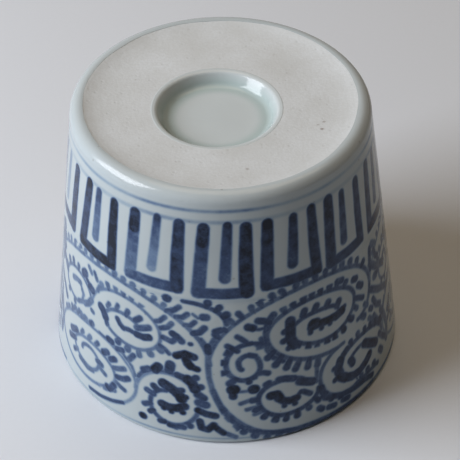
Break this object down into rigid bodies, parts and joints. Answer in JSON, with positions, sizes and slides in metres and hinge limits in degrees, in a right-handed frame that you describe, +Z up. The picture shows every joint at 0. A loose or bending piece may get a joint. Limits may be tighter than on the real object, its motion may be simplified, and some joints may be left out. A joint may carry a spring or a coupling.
{
  "type": "soba choko cup",
  "caption": "Tapered porcelain dipping cup, mouth down on its lip, with a sunk snake-eye foot, blue painted lappets and octopus scroll, for soba sauce, tea or small servings.",
  "frame": {"origin": "centre of the mouth, on the plane that the lip rests on", "axes": "+Z up along the cup's axis from the mouth to the foot, because the cup stands mouth down; -Y towards the painted front, +X to its right"},
  "size_m": [0.0798, 0.0798, 0.065],
  "materials": {
    "clay": "matte bare porcelain",
    "clear_glaze": "gloss",
    "celadon_glaze": "gloss",
    "pale_cobalt": "gloss",
    "mid_cobalt": "gloss",
    "dark_cobalt": "gloss"
  },
  "bodies": {
    "root": {"porcelain_body": "clay", "glaze_coat": "clear_glaze", "foot_well_glaze": "celadon_glaze", "foot_line": "pale_cobalt", "band_line": "pale_cobalt", "lappet_frames": "dark_cobalt", "lappet_bars": "mid_cobalt", "scroll_front": "dark_cobalt", "scroll_back_right": "dark_cobalt", "scroll_back_left": "dark_cobalt", "lip_line": "pale_cobalt"}
  },
  "joints": []
}
